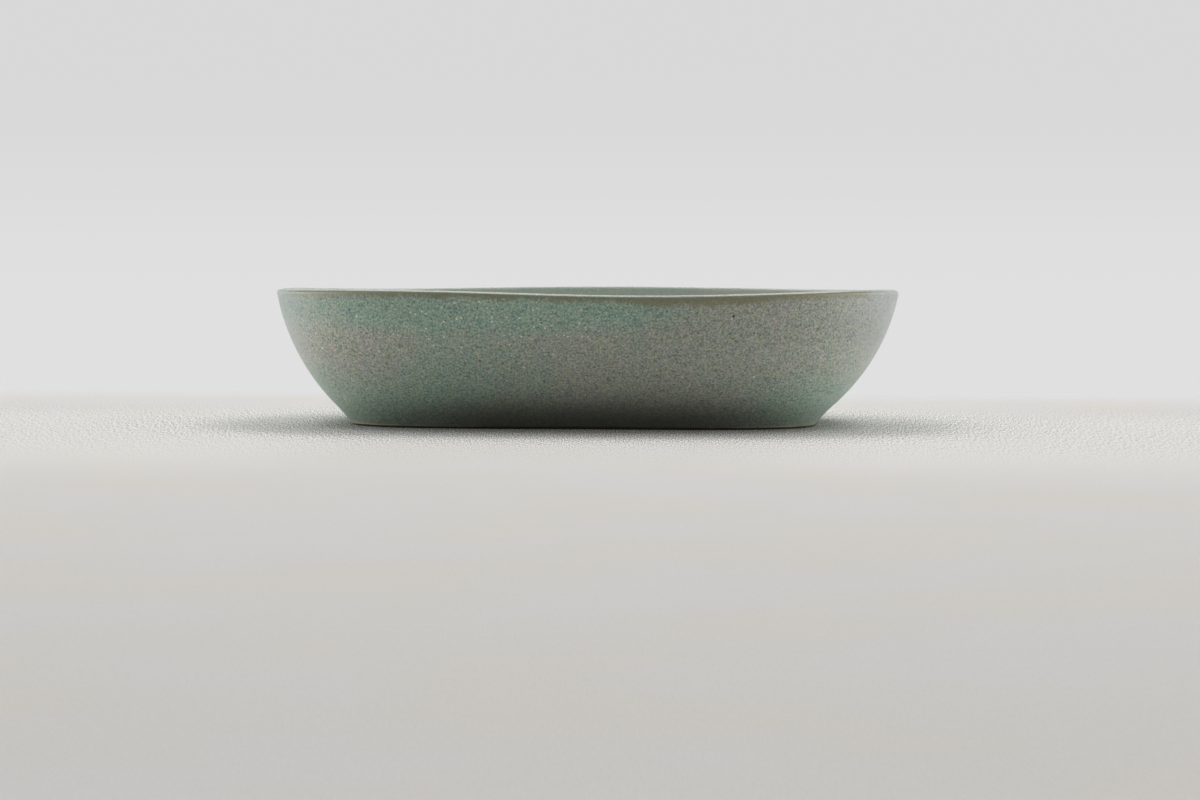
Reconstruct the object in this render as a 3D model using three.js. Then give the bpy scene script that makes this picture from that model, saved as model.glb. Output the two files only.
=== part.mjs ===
// Deep oval plate of thin stoneware under a matt glaze, free standing on a low foot.
// Millimetres, +Z up. The origin is on the table under the middle of the rim,
// and the long axis lies along X.
import * as THREE from 'three';

// Rim outline seen from above, at the outermost line of the lip.
// A squareness of 2 is a true ellipse.
const rimLength = 220;
const rimWidth = 152;
const rimSquareness = 2.6;

// Foot outline, where the outside glaze stops just above the table
const footLength = 165.2;
const footWidth = 97;
const footSquareness = 3.8;
const footShift = -0.9;

// The long sides of the foot are drawn in a little along the middle
const waistDepth = 1.6;
const waistReach = 55;
const waistShift = 3.5;

// Height of the lip above the table, and the slow waves around it.
// Each wave has so many crests, and its first crest stands at crestTurn degrees.
const rimHeight = 47.2;
const rimWaves = [
  { crests: 1, swing: 0.13, crestTurn: -154 },
  { crests: 2, swing: 0.23, crestTurn: 15 },
  { crests: 3, swing: 0.47, crestTurn: -26 },
  { crests: 4, swing: 0.26, crestTurn: -23 },
  { crests: 5, swing: 0.19, crestTurn: 28.5 },
];

// Wall section: a straight skirt above the foot, then one arc up to the lip
const lipThickness = 3;
const skirtRise = 4;
const skirtRun = 3.5;
const outerWallRadius = 71;
const innerWallRadius = 63;
const floorHeight = 6.2;
const wellRise = 7;

// Coats of glaze, and the band over the lip where the glaze runs thin and brown
const glazeThickness = 0.5;
const lipBand = 2.4;

// Foot: bare clay face under the glaze, bevel, flat ring and shallow recess
const bareFace = 0.45;
const bareLean = 0.15;
const footBevel = 0.75;
const footRing = 5;
const recessDepth = 1.5;
const recessSlope = 0.8;

// Facets
const stepsAround = 72;
const stepsUpOutside = 5;
const stepsOverLip = 4;
const stepsDownInside = 4;
const stepsInWell = 3;

const lipRadius = lipThickness / 2;
const glazeEdge = footBevel + bareFace;

// One point of an oval outline, where angle runs evenly around the stretched circle
function ovalPoint(angle, length, width, squareness) {
  const across = Math.abs(Math.cos(angle)) ** squareness;
  const along = Math.abs(Math.sin(angle)) ** squareness;
  const reach = (across + along) ** (-1 / squareness);
  return new THREE.Vector2(
    (length / 2) * reach * Math.cos(angle),
    (width / 2) * reach * Math.sin(angle),
  );
}

// How far the waist draws the foot's long side in at a place along X
function waistAt(x) {
  const offset = Math.abs(x - waistShift);
  if (offset >= waistReach) return 0;
  return waistDepth * Math.cos((Math.PI * offset) / (2 * waistReach)) ** 2;
}

function footPoint(angle) {
  const point = ovalPoint(angle, footLength, footWidth, footSquareness);
  point.y -= Math.sign(point.y) * waistAt(point.x) * Math.abs(Math.sin(angle));
  point.x += footShift;
  return point;
}

function rimPoint(angle) {
  return ovalPoint(angle, rimLength, rimWidth, rimSquareness);
}

function lipHeight(angle) {
  let height = rimHeight;
  for (const wave of rimWaves) {
    const turn = THREE.MathUtils.degToRad(wave.crestTurn);
    height += wave.swing * Math.cos(wave.crests * (angle - turn));
  }
  return height;
}

// Centre of the outer wall's arc, which starts at the top of the skirt
// and runs into the round lip without a corner
function wallCentre(skirtTop, lip) {
  const chord = lip.clone().sub(skirtTop);
  const span = chord.length();
  const lipReach = outerWallRadius - lipRadius;
  const along = (outerWallRadius ** 2 - lipReach ** 2 + span ** 2) / (2 * span);
  const aside = Math.sqrt(outerWallRadius ** 2 - along ** 2);
  const unit = chord.divideScalar(span);
  return new THREE.Vector2(
    skirtTop.x + unit.x * along - unit.y * aside,
    skirtTop.y + unit.y * along + unit.x * aside,
  );
}

// Points on an arc, with angles measured downwards from the outward direction
function arcPoints(centre, radius, from, to, steps) {
  const points = [];
  for (let i = 0; i <= steps; i += 1) {
    const angle = from + ((to - from) * i) / steps;
    points.push(new THREE.Vector2(
      centre.x + radius * Math.cos(angle),
      centre.y - radius * Math.sin(angle),
    ));
  }
  return points;
}

function angleTo(centre, point) {
  return Math.atan2(centre.y - point.y, point.x - centre.x);
}

// The wall's section in one direction: x runs outwards from the foot's edge, y is up.
// Depth 0 is the glazed face, and depth glazeThickness is the clay under it.
function wallSection(angle, depth) {
  const flare = rimPoint(angle).sub(footPoint(angle)).length();
  const top = lipHeight(angle);
  const skirt = new THREE.Vector2(skirtRun, skirtRise);
  const edge = new THREE.Vector2(0, glazeEdge);
  const skirtTop = edge.clone().add(skirt);
  const lip = new THREE.Vector2(flare - lipRadius, top - lipRadius);
  const outer = wallCentre(skirtTop, lip);
  const rimTurn = angleTo(outer, lip);
  const skirtTurn = angleTo(outer, skirtTop);

  const shift = outerWallRadius - lipThickness - innerWallRadius;
  const inner = new THREE.Vector2(
    outer.x + shift * Math.cos(rimTurn),
    outer.y - shift * Math.sin(rimTurn),
  );
  const outerSeam = Math.asin((outer.y - top + lipBand) / outerWallRadius);
  const innerSeam = Math.asin((inner.y - top + lipBand) / innerWallRadius);
  const wellTurn = Math.asin((inner.y - floorHeight - wellRise) / innerWallRadius);

  const outerRadius = outerWallRadius - depth;
  const innerRadius = innerWallRadius + depth;
  const inwards = new THREE.Vector2(-skirt.y, skirt.x).setLength(depth);
  const outside = [
    edge.clone().add(inwards),
    ...arcPoints(outer, outerRadius, skirtTurn, outerSeam, stepsUpOutside),
  ];
  const overLip = [
    outside[outside.length - 1],
    ...arcPoints(lip, lipRadius - depth, rimTurn, rimTurn - Math.PI, stepsOverLip),
    arcPoints(inner, innerRadius, innerSeam, innerSeam, 1)[0],
  ];
  const inside = [
    ...arcPoints(inner, innerRadius, innerSeam, wellTurn, stepsDownInside),
    ...wellPoints(inner, innerRadius, wellTurn, floorHeight - depth).slice(1),
  ];
  return { outside, overLip, inside };
}

// Soft turn from the inner wall into the flat floor
function wellPoints(centre, radius, wallTurn, floor) {
  const start = arcPoints(centre, radius, wallTurn, wallTurn, 1)[0];
  const slope = (start.y - floor) / Math.cos(wallTurn);
  const corner = new THREE.Vector2(start.x - slope * Math.sin(wallTurn), floor);
  const end = new THREE.Vector2(corner.x - slope, floor);
  return new THREE.QuadraticBezierCurve(start, corner, end).getPoints(stepsInWell);
}

// Underside of the clay, from the recess out to the edge of the outside glaze
function footSection() {
  const outerLand = -bareLean - footBevel;
  const innerLand = outerLand - footRing;
  const recessEdge = innerLand - recessSlope;
  return {
    recessTop: new THREE.Vector2(recessEdge, recessDepth + glazeThickness),
    recessRim: new THREE.Vector2(recessEdge, recessDepth),
    innerLand: new THREE.Vector2(innerLand, 0),
    outerLand: new THREE.Vector2(outerLand, 0),
    bevelTop: new THREE.Vector2(-bareLean, footBevel),
    bareTop: new THREE.Vector2(0, glazeEdge),
  };
}

// Puts a point of a section in its place around the plate
function placed(angle, point) {
  const foot = footPoint(angle);
  const outwards = rimPoint(angle).sub(foot).normalize();
  return new THREE.Vector3(
    foot.x + outwards.x * point.x,
    foot.y + outwards.y * point.x,
    point.y,
  );
}

// Runs a section right round the plate, and gives one ring for each of its points
function ringsOf(sectionAt) {
  const rings = sectionAt(0).map(() => []);
  for (let i = 0; i < stepsAround; i += 1) {
    const angle = (2 * Math.PI * i) / stepsAround;
    sectionAt(angle).forEach((point, row) => rings[row].push(placed(angle, point)));
  }
  return rings;
}

// Two triangles on the shorter diagonal, so that touching bodies share their facets
function splitQuad([a, b, c, d], vertices) {
  const direct = vertices[a].distanceTo(vertices[c]);
  const crossed = vertices[b].distanceTo(vertices[d]);
  return direct < crossed ? [a, b, c, a, c, d] : [a, b, d, b, c, d];
}

// Closed body through rings, which either end in two middle points or close on themselves
function ringBody(name, material, rings, middles) {
  const vertices = rings.flat();
  const faces = [];
  const at = (row, i) => row * stepsAround + (i % stepsAround);
  const lastRow = rings.length - 1;
  const bands = middles ? lastRow : lastRow + 1;
  for (let i = 0; i < stepsAround; i += 1) {
    for (let row = 0; row < bands; row += 1) {
      const next = (row + 1) % rings.length;
      const corners = [at(row, i), at(row, i + 1), at(next, i + 1), at(next, i)];
      faces.push(...splitQuad(corners, vertices));
    }
    if (middles) {
      faces.push(vertices.length, at(0, i + 1), at(0, i));
      faces.push(at(lastRow, i), at(lastRow, i + 1), vertices.length + 1);
    }
  }
  if (middles) vertices.push(...middles);
  const geometry = new THREE.BufferGeometry().setFromPoints(vertices);
  geometry.setIndex(faces);
  geometry.computeVertexNormals();
  const mesh = new THREE.Mesh(geometry, material);
  mesh.name = name;
  return mesh;
}

function middleAt(height) {
  return new THREE.Vector3(footShift, 0, height);
}

// The fired clay: foot, wall, lip and floor in one piece
function clayBody() {
  const foot = footSection();
  const rings = ringsOf((angle) => {
    const wall = wallSection(angle, glazeThickness);
    return [
      foot.recessTop, foot.recessRim, foot.innerLand,
      foot.outerLand, foot.bevelTop, foot.bareTop,
      ...wall.outside, ...wall.overLip.slice(1), ...wall.inside.slice(1),
    ];
  });
  const middles = [
    middleAt(recessDepth + glazeThickness),
    middleAt(floorHeight - glazeThickness),
  ];
  const clay = new THREE.MeshStandardMaterial({ color: 0xb39a78, roughness: 0.9, metalness: 0 });
  return ringBody('clay_body', clay, rings, middles);
}

// A coat that runs round the plate as a band, on one stretch of the wall
function glazeBand(name, stretch, color, roughness) {
  const rings = ringsOf((angle) => {
    const face = wallSection(angle, 0)[stretch];
    const back = wallSection(angle, glazeThickness)[stretch];
    return [...face, ...back.reverse()];
  });
  const glaze = new THREE.MeshStandardMaterial({ color, roughness, metalness: 0 });
  return ringBody(name, glaze, rings);
}

// The coat poured into the plate, down the inner wall and over the floor
function insideGlaze() {
  const rings = ringsOf((angle) => {
    const face = wallSection(angle, 0).inside;
    const back = wallSection(angle, glazeThickness).inside;
    return [...back.reverse(), ...face];
  });
  const middles = [middleAt(floorHeight - glazeThickness), middleAt(floorHeight)];
  const glaze = new THREE.MeshStandardMaterial({ color: 0x7d9085, roughness: 0.5, metalness: 0 });
  return ringBody('inside_glaze', glaze, rings, middles);
}

// The coat in the recess under the plate, inside the wiped foot ring
function undersideGlaze() {
  const foot = footSection();
  const rings = ringsOf(() => [foot.recessRim, foot.recessTop]);
  const middles = [middleAt(recessDepth), middleAt(recessDepth + glazeThickness)];
  const glaze = new THREE.MeshStandardMaterial({ color: 0x76867a, roughness: 0.6, metalness: 0 });
  return ringBody('underside_glaze', glaze, rings, middles);
}

const plate = new THREE.Group();
plate.name = 'oval_plate';
plate.add(clayBody());
plate.add(glazeBand('outside_glaze', 'outside', 0x758378, 0.6));
plate.add(glazeBand('lip_glaze', 'overLip', 0x6a6850, 0.5));
plate.add(insideGlaze());
plate.add(undersideGlaze());

export default plate;
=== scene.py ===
"""Deep oval stoneware plate under a matt turquoise grey glaze, on a pale table in soft light.

Metres, +Z up. The plate stands on the table at the origin, with its long axis along X.
"""

import math
from types import SimpleNamespace

import bmesh
import bpy
from bpy.props import FloatProperty, FloatVectorProperty, PointerProperty
from mathutils import Matrix, Vector


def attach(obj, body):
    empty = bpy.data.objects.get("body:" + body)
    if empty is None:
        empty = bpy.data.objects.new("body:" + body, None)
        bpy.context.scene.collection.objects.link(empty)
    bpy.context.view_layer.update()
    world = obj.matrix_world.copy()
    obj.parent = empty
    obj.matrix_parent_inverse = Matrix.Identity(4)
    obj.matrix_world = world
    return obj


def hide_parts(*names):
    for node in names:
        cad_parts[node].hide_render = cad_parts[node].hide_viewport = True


bl_info = {
    "name": "Oval Stoneware Plate",
    "version": (1, 0, 0),
    "blender": (4, 5, 0),
    "location": "3D View > Sidebar > Plate",
    "description": "Builds a glazed oval plate coat by coat, with its table and light",
    "category": "Add Mesh",
}

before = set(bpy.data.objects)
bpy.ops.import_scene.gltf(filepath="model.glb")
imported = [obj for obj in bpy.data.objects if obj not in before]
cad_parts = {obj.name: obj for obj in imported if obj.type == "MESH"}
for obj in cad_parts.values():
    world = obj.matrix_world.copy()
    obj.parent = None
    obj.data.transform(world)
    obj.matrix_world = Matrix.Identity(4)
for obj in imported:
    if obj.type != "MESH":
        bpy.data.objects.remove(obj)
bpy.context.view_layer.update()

MM = 0.001
TAU = 2 * math.pi
BODY = "root"

# Surface bands: steps round the plate, and rows along each band
STEPS_AROUND = 360
SKIRT_ROWS = 6
WALL_ROWS = 44
LIP_EDGE_ROWS = 6
LIP_ROWS = 16
WELL_ROWS = 14
FLOOR_ROWS = 22
HIDDEN_ROWS = 10
CORNER_ROWS = 4

# Share of the skirt that stays straight, and how far up the wall its soft turn reaches
SKIRT_STRAIGHT = 0.35
SKIRT_BLEND = 2.6 * MM

# The wall's swells: the oval that their noise is read on, and heights they fade in between
SWELL_OVAL = (110 * MM, 80 * MM)
SWELL_FADE = (4 * MM, 14 * MM)

# Points nearer than this are one, and edges more folded than this stay crisp
WELD_DISTANCE = 0.004 * MM
SHARP_ANGLE = math.radians(38)

# Slow waves of the lip: crests round the plate, swing in millimetres, degrees to the first crest
LIP_WAVES = ((1, 0.13, -154), (2, 0.23, 15), (3, 0.47, -26), (4, 0.26, -23), (5, 0.19, 28.5))

# Distance below the lip's crest, kept on the vertices, with its sign for each side of the wall
LIP_DROP = "lip_drop"
OUTSIDE, INSIDE = 1, -1

# Section of the lip: 2 is a true half circle, more is squarer
LIP_SQUARENESS = 2.8

# The photograph's frame in pixels, and the width of the camera's sensor in millimetres
FRAME_WIDTH = 1200
FRAME_HEIGHT = 800
SENSOR_WIDTH = 36.0


def paint(code):
    """Linear colour of a hexadecimal paint code."""
    channels = [(code >> shift & 0xFF) / 255 for shift in (16, 8, 0)]
    return tuple(c / 12.92 if c <= 0.04045 else ((c + 0.055) / 1.055) ** 2.4 for c in channels)


def length_of(name, description, size):
    """A length that a user may change, given in millimetres."""
    return FloatProperty(
        name=name, description=description, default=size * MM,
        subtype="DISTANCE", unit="LENGTH", precision=5,
    )


def number_of(name, description, value):
    """A plain number that a user may change."""
    return FloatProperty(name=name, description=description, default=value, precision=3)


def angle_of(name, description, degrees):
    """An angle that a user may change, given in degrees."""
    return FloatProperty(
        name=name, description=description, default=math.radians(degrees), subtype="ANGLE")


def colour_of(name, description, code):
    """A colour that a user may change."""
    return FloatVectorProperty(
        name=name, description=description, default=paint(code),
        subtype="COLOR", size=3, min=0, max=1,
    )


class PLATE_PG_shape(bpy.types.PropertyGroup):
    """Sizes of the plate. Each becomes a named input of every piece's node tree."""

    rim_length: length_of("Rim length", "Length over the lip", 220)
    rim_width: length_of("Rim width", "Width over the lip", 152)
    rim_squareness: number_of("Rim squareness", "2 is a true ellipse", 2.6)
    rim_height: length_of("Rim height", "Mean height of the lip", 47.2)
    foot_length: length_of("Foot length", "Length at the glaze's lower edge", 165.2)
    foot_width: length_of("Foot width", "Width at the glaze's lower edge", 97)
    foot_squareness: number_of("Foot squareness", "2 is a true ellipse", 3.8)
    foot_shift: length_of("Foot shift", "Where the foot's middle lies", -0.9)
    waist_depth: length_of("Waist depth", "How far the long sides draw in", 1.6)
    waist_reach: length_of("Waist reach", "Reach of the waist to each side", 55)
    waist_shift: length_of("Waist shift", "Where the waist's middle lies", 3.5)
    lip_thickness: length_of("Lip thickness", "Width of the round lip", 3)
    skirt_rise: length_of("Skirt rise", "Height of the straight skirt", 4)
    skirt_run: length_of("Skirt run", "How far the skirt leans out", 3.5)
    outer_radius: length_of("Outer wall radius", "Radius of the outside wall's arc", 71)
    inner_radius: length_of("Inner wall radius", "Radius of the inside wall's arc", 63)
    floor_height: length_of("Floor height", "Height of the inside floor", 6.2)
    well_rise: length_of("Well rise", "Height of the floor's soft turn", 7)
    glaze_thickness: length_of("Glaze thickness", "Thickness of each coat", 0.5)
    lip_band: length_of("Lip band", "Depth of the lip's own coat", 2.4)
    bare_face: length_of("Bare face", "Height of the bare clay", 0.45)
    bare_lean: length_of("Bare lean", "How far the bare face leans in", 0.15)
    foot_bevel: length_of("Foot bevel", "Width and height of the foot's bevel", 0.75)
    foot_ring: length_of("Foot ring", "Width of the standing ring", 5)
    recess_depth: length_of("Recess depth", "Depth inside the foot ring", 1.5)
    recess_slope: length_of("Recess slope", "How far the recess wall leans", 0.8)
    hand_swell: length_of("Hand swell", "How far the wall is out of true", 0.5)
    hand_stride: length_of("Hand stride", "Distance between swells of the wall", 42)


for crests, swing, turn in LIP_WAVES:
    wave = f"Lip wave {crests}"
    PLATE_PG_shape.__annotations__[f"swing_{crests}"] = length_of(
        wave + " swing", f"How far the lip waves up and down, {crests} times round", swing)
    PLATE_PG_shape.__annotations__[f"turn_{crests}"] = angle_of(
        wave + " turn", "Where the first crest of this wave stands", turn)


class PLATE_PG_glaze(bpy.types.PropertyGroup):
    """Colours and grain of the glaze and the clay."""

    thick: colour_of("Thick glaze", "Colour where the glaze lies thick", 0x7EA996)
    thin: colour_of("Thin glaze", "Colour where the glaze lies thin", 0x9B9F95)
    buff: colour_of("Buff grains", "Colour of the pale grains", 0xD8CBAE)
    blue: colour_of("Blue grains", "Colour of the cool grains", 0x7F98A2)
    dark: colour_of("Dark grains", "Colour of the iron grains", 0x2E332C)
    lip: colour_of("Lip", "Colour of the break at the lip", 0x7A775A)
    clay: colour_of("Bare clay", "Colour of the fired clay", 0xA39C84)
    roughness: number_of("Roughness", "Roughness of the glaze, from 0 to 1", 0.44)
    grain_size: length_of("Grain size", "Distance between grains", 0.85)
    cloud_size: length_of("Cloud size", "Distance between clouds", 58)


class PLATE_PG_stage(bpy.types.PropertyGroup):
    """Camera, table and light."""

    lens: number_of("Lens", "Focal length in millimetres", 90)
    distance: length_of("Distance", "From the camera to the plate", 1071)
    height: length_of("Height", "Height of the camera above the table", 60.2)
    turn: angle_of("Turn", "How far the camera stands round towards +X", 4.85)
    cloth: colour_of("Table", "Colour of the table near the plate", 0xDEDBD5)
    paper: colour_of("Backdrop", "Colour of the paper behind the table", 0xE0E0E0)
    sky: number_of("Room light", "Strength of the room's even light", 0.05)
    softbox: number_of("Softboxes", "Power of each softbox, in watts", 36.4)
    top: number_of("Top light", "Power of the top light, in watts", 14)
    panel: number_of("Side panels", "Power of each panel, in watts", 25)


def math_step(operation):
    """A method or function of wires that adds one math node."""
    return lambda self, *others: self.math(operation, *others)


class Wire:
    """A number in a node tree. Sums and products of wires add the math nodes they need."""

    def __init__(self, tree, socket):
        self.tree = tree
        self.socket = socket

    def math(self, operation, *others):
        """The result of one math node on this wire and the other numbers."""
        values = dict(enumerate((self, *others)))
        return wire_from(self.tree, "ShaderNodeMath", values, operation=operation)

    __add__ = __radd__ = math_step("ADD")
    __sub__ = math_step("SUBTRACT")
    __mul__ = __rmul__ = math_step("MULTIPLY")
    __truediv__ = math_step("DIVIDE")
    __pow__ = math_step("POWER")
    __abs__ = math_step("ABSOLUTE")

    def __neg__(self):
        return self * -1

    def __rsub__(self, other):
        return -self + other

    def __rtruediv__(self, other):
        return self ** -1 * other

    def smooth(self, low, high):
        """Rises softly from 0 at low to 1 at high."""
        values = {"Value": self, "From Min": low, "From Max": high}
        return wire_from(self.tree, "ShaderNodeMapRange", values, interpolation_type="SMOOTHSTEP")


def plug(slot, value):
    """Links a wire to a socket, or writes a plain value on it."""
    if isinstance(value, Wire):
        value.tree.links.new(value.socket, slot)
    else:
        slot.default_value = value


def fill(node, values):
    """Links or writes a node's inputs, given by name or number, and gives the node back."""
    for slot, value in values.items():
        plug(node.inputs[slot], value)
    return node


def wire_from(tree, kind, values, output=0, **settings):
    """Adds a node with its settings and inputs, and gives back the wire from its output."""
    node = tree.nodes.new(kind)
    for key, setting in settings.items():
        setattr(node, key, setting)
    return Wire(tree, fill(node, values).outputs[output])


sine = math_step("SINE")
cosine = math_step("COSINE")
root = math_step("SQRT")


def angle_to(centre, point):
    """Angle of a point seen from a centre, measured downwards from the outward direction."""
    return (centre[1] - point[1]).math("ARCTAN2", point[0] - centre[0])


def split(tree, socket):
    """The three numbers of a vector socket."""
    node = tree.nodes.new("ShaderNodeSeparateXYZ")
    tree.links.new(socket, node.inputs[0])
    return [Wire(tree, output) for output in node.outputs]


def vector(tree, x, y, z):
    """A vector wire made of three numbers."""
    return wire_from(tree, "ShaderNodeCombineXYZ", {"X": x, "Y": y, "Z": z})


def noise(tree, place, scale, detail=2.0, roughness=0.5):
    """Soft noise between 0 and 1, with so many swells to the metre."""
    values = {"Vector": place, "Scale": scale, "Detail": detail, "Roughness": roughness}
    return wire_from(tree, "ShaderNodeTexNoise", values)


def between(start, end, share):
    """The point that lies a share of the way from start to end."""
    return tuple(a + (b - a) * share for a, b in zip(start, end))


def curve(start, corner, end, share):
    """A point on the curve that leaves start and reaches end along the lines through corner."""
    return between(between(start, corner, share), between(corner, end, share), share)


def on_arc(centre, radius, angle):
    """A point on an arc, at an angle measured downwards from the outward direction."""
    return centre[0] + radius * cosine(angle), centre[1] - radius * sine(angle)


class Plate:
    """The plate's surface as wires in one geometry tree. A section is a pair: outwards and up."""

    def __init__(self, tree, sizes):
        self.tree = tree
        self.sizes = sizes
        flat = tree.nodes.new("GeometryNodeInputPosition")
        across, along, _ = split(tree, flat.outputs[0])
        self.turn = (across + 0.5) * TAU
        self.share = along + 0.5
        self.foot = self.foot_outline()
        self.rim = self.oval(sizes.rim_length, sizes.rim_width, sizes.rim_squareness)
        reach = [there - here for here, there in zip(self.foot, self.rim)]
        self.flare = root(reach[0] * reach[0] + reach[1] * reach[1])
        self.outwards = [part / self.flare for part in reach]
        self.top = self.lip_height()
        self.measure_wall()

    def oval(self, length, width, squareness):
        """One point of an oval outline, in the direction of this turn."""
        across = abs(cosine(self.turn)) ** squareness
        along = abs(sine(self.turn)) ** squareness
        reach = (across + along) ** (-1 / squareness)
        return length / 2 * reach * cosine(self.turn), width / 2 * reach * sine(self.turn)

    def foot_outline(self):
        """The foot's outline, with its long sides drawn in a little."""
        sizes = self.sizes
        x, y = self.oval(sizes.foot_length, sizes.foot_width, sizes.foot_squareness)
        offset = abs(x - sizes.waist_shift).math("MINIMUM", sizes.waist_reach)
        bend = cosine(offset / sizes.waist_reach * (math.pi / 2))
        return x + sizes.foot_shift, y - sizes.waist_depth * bend * bend * sine(self.turn)

    def lip_height(self):
        """Height of the lip, with its slow waves."""
        height = self.sizes.rim_height
        for crests, _, _ in LIP_WAVES:
            swing = getattr(self.sizes, f"swing_{crests}")
            first = getattr(self.sizes, f"turn_{crests}")
            height = height + swing * cosine((self.turn - first) * crests)
        return height

    def measure_wall(self):
        """Centres and angles of the wall's two arcs, which run into the round lip."""
        sizes = self.sizes
        self.lip_radius = sizes.lip_thickness / 2
        self.glaze_edge = sizes.foot_bevel + sizes.bare_face
        self.lip = (self.flare - self.lip_radius, self.top - self.lip_radius)
        skirt_top = (sizes.skirt_run, self.glaze_edge + sizes.skirt_rise)
        chord = [there - here for here, there in zip(skirt_top, self.lip)]
        span = root(chord[0] * chord[0] + chord[1] * chord[1])
        reach = sizes.outer_radius - self.lip_radius
        along = (sizes.outer_radius ** 2 - reach ** 2 + span ** 2) / (span * 2)
        aside = root(sizes.outer_radius ** 2 - along ** 2)
        unit = [part / span for part in chord]
        self.outer = (
            skirt_top[0] + unit[0] * along - unit[1] * aside,
            skirt_top[1] + unit[1] * along + unit[0] * aside,
        )
        self.rim_turn = angle_to(self.outer, self.lip)
        self.skirt_turn = angle_to(self.outer, skirt_top)
        shift = sizes.outer_radius - sizes.lip_thickness - sizes.inner_radius
        self.inner = on_arc(self.outer, shift, self.rim_turn)
        seam = self.top - sizes.lip_band
        self.outer_seam = self.turn_at(self.outer, sizes.outer_radius, seam)
        self.inner_seam = self.turn_at(self.inner, sizes.inner_radius, seam)
        well_height = sizes.floor_height + sizes.well_rise
        self.well_turn = self.turn_at(self.inner, sizes.inner_radius, well_height)

    @staticmethod
    def turn_at(centre, radius, height):
        """Angle at which an arc stands at a height."""
        return ((centre[1] - height) / radius).math("ARCSINE")

    def sweep(self, start, end):
        """Angle that runs from start to end along the band."""
        return start + (end - start) * self.share

    def edge(self, depth):
        """Lower edge of the outside glaze, and the clay behind it."""
        sizes = self.sizes
        span = root(sizes.skirt_run ** 2 + sizes.skirt_rise ** 2)
        back = depth / span
        return -(sizes.skirt_rise * back), self.glaze_edge + sizes.skirt_run * back

    def blend_turn(self):
        """Angle on the outer arc where the skirt's soft turn ends."""
        return self.skirt_turn - SKIRT_BLEND / self.sizes.outer_radius

    def skirt_bands(self, depth, rows):
        """The straight part of the skirt and its soft turn into the wall."""
        radius = self.sizes.outer_radius - depth
        edge, corner = self.edge(depth), on_arc(self.outer, radius, self.skirt_turn)
        low = between(edge, corner, SKIRT_STRAIGHT)
        high = on_arc(self.outer, radius, self.blend_turn())
        return [
            (OUTSIDE, rows, between(edge, low, self.share)),
            (OUTSIDE, rows, curve(low, corner, high, self.share)),
        ]

    def outer_band(self, depth, rows):
        """The outside wall, from the skirt to the seam under the lip."""
        radius = self.sizes.outer_radius - depth
        turn = self.sweep(self.blend_turn(), self.outer_seam)
        return [(OUTSIDE, rows, on_arc(self.outer, radius, turn))]

    def lip_bands(self, depth, edge_rows, rows):
        """Over the lip, from the outer seam to the inner seam."""
        outer_radius = self.sizes.outer_radius - depth
        inner_radius = self.sizes.inner_radius + depth
        rise = self.sweep(self.outer_seam, self.rim_turn)
        over = self.sweep(self.rim_turn, self.rim_turn - math.pi)
        fall = self.sweep(self.rim_turn, self.inner_seam)
        return [
            (OUTSIDE, edge_rows, on_arc(self.outer, outer_radius, rise)),
            (cosine(over).math("SIGN"), rows, self.over_lip(depth)),
            (INSIDE, edge_rows, on_arc(self.inner, inner_radius, fall)),
        ]

    def over_lip(self, depth):
        """Half round, a little squared, from the outside wall's face to the inside wall's."""
        radius = self.lip_radius - depth
        around = self.share * math.pi
        across = abs(cosine(around)) ** (2 / LIP_SQUARENESS) * cosine(around).math("SIGN") * radius
        above = sine(around) ** (2 / LIP_SQUARENESS) * radius
        lean, rise = sine(self.rim_turn), cosine(self.rim_turn)
        return (
            self.lip[0] + across * rise + above * lean,
            self.lip[1] - across * lean + above * rise,
        )

    def inner_bands(self, depth, rows, well_rows):
        """Down the inside wall and round into the floor."""
        radius = self.sizes.inner_radius + depth
        start, corner, end = self.well_points(depth)
        fall = self.sweep(self.inner_seam, self.well_turn)
        return [
            (INSIDE, rows, on_arc(self.inner, radius, fall)),
            (INSIDE, well_rows, curve(start, corner, end, self.share)),
        ]

    def well_points(self, depth):
        """Start, corner and end of the soft turn from the inside wall into the floor."""
        floor = self.sizes.floor_height - depth
        start = on_arc(self.inner, self.sizes.inner_radius + depth, self.well_turn)
        slope = (start[1] - floor) / cosine(self.well_turn)
        corner = (start[0] - slope * sine(self.well_turn), floor)
        return start, corner, (corner[0] - slope, floor)

    def seam_face(self, side, depth):
        """Across the glaze at the seam under the lip, outside or inside."""
        centre, radius, turn = {
            OUTSIDE: (self.outer, self.sizes.outer_radius, self.outer_seam),
            INSIDE: (self.inner, self.sizes.inner_radius, self.inner_seam),
        }[side]
        face, back = (on_arc(centre, radius - level * side, turn) for level in (0.0, depth))
        return between(face, back, self.share)

    def placed(self, section):
        """Puts a point of a section in its place around the plate, swollen a little by hand."""
        sizes = self.sizes
        out, up = section
        swell = noise(
            self.tree,
            vector(
                self.tree,
                cosine(self.turn) * SWELL_OVAL[0], sine(self.turn) * SWELL_OVAL[1], up,
            ),
            1 / sizes.hand_stride, 1.0,
        )
        moved = out + (swell - 0.5) * sizes.hand_swell * up.smooth(*SWELL_FADE) * 2
        return (
            self.foot[0] + self.outwards[0] * moved,
            self.foot[1] + self.outwards[1] * moved,
            up,
        )

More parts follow.
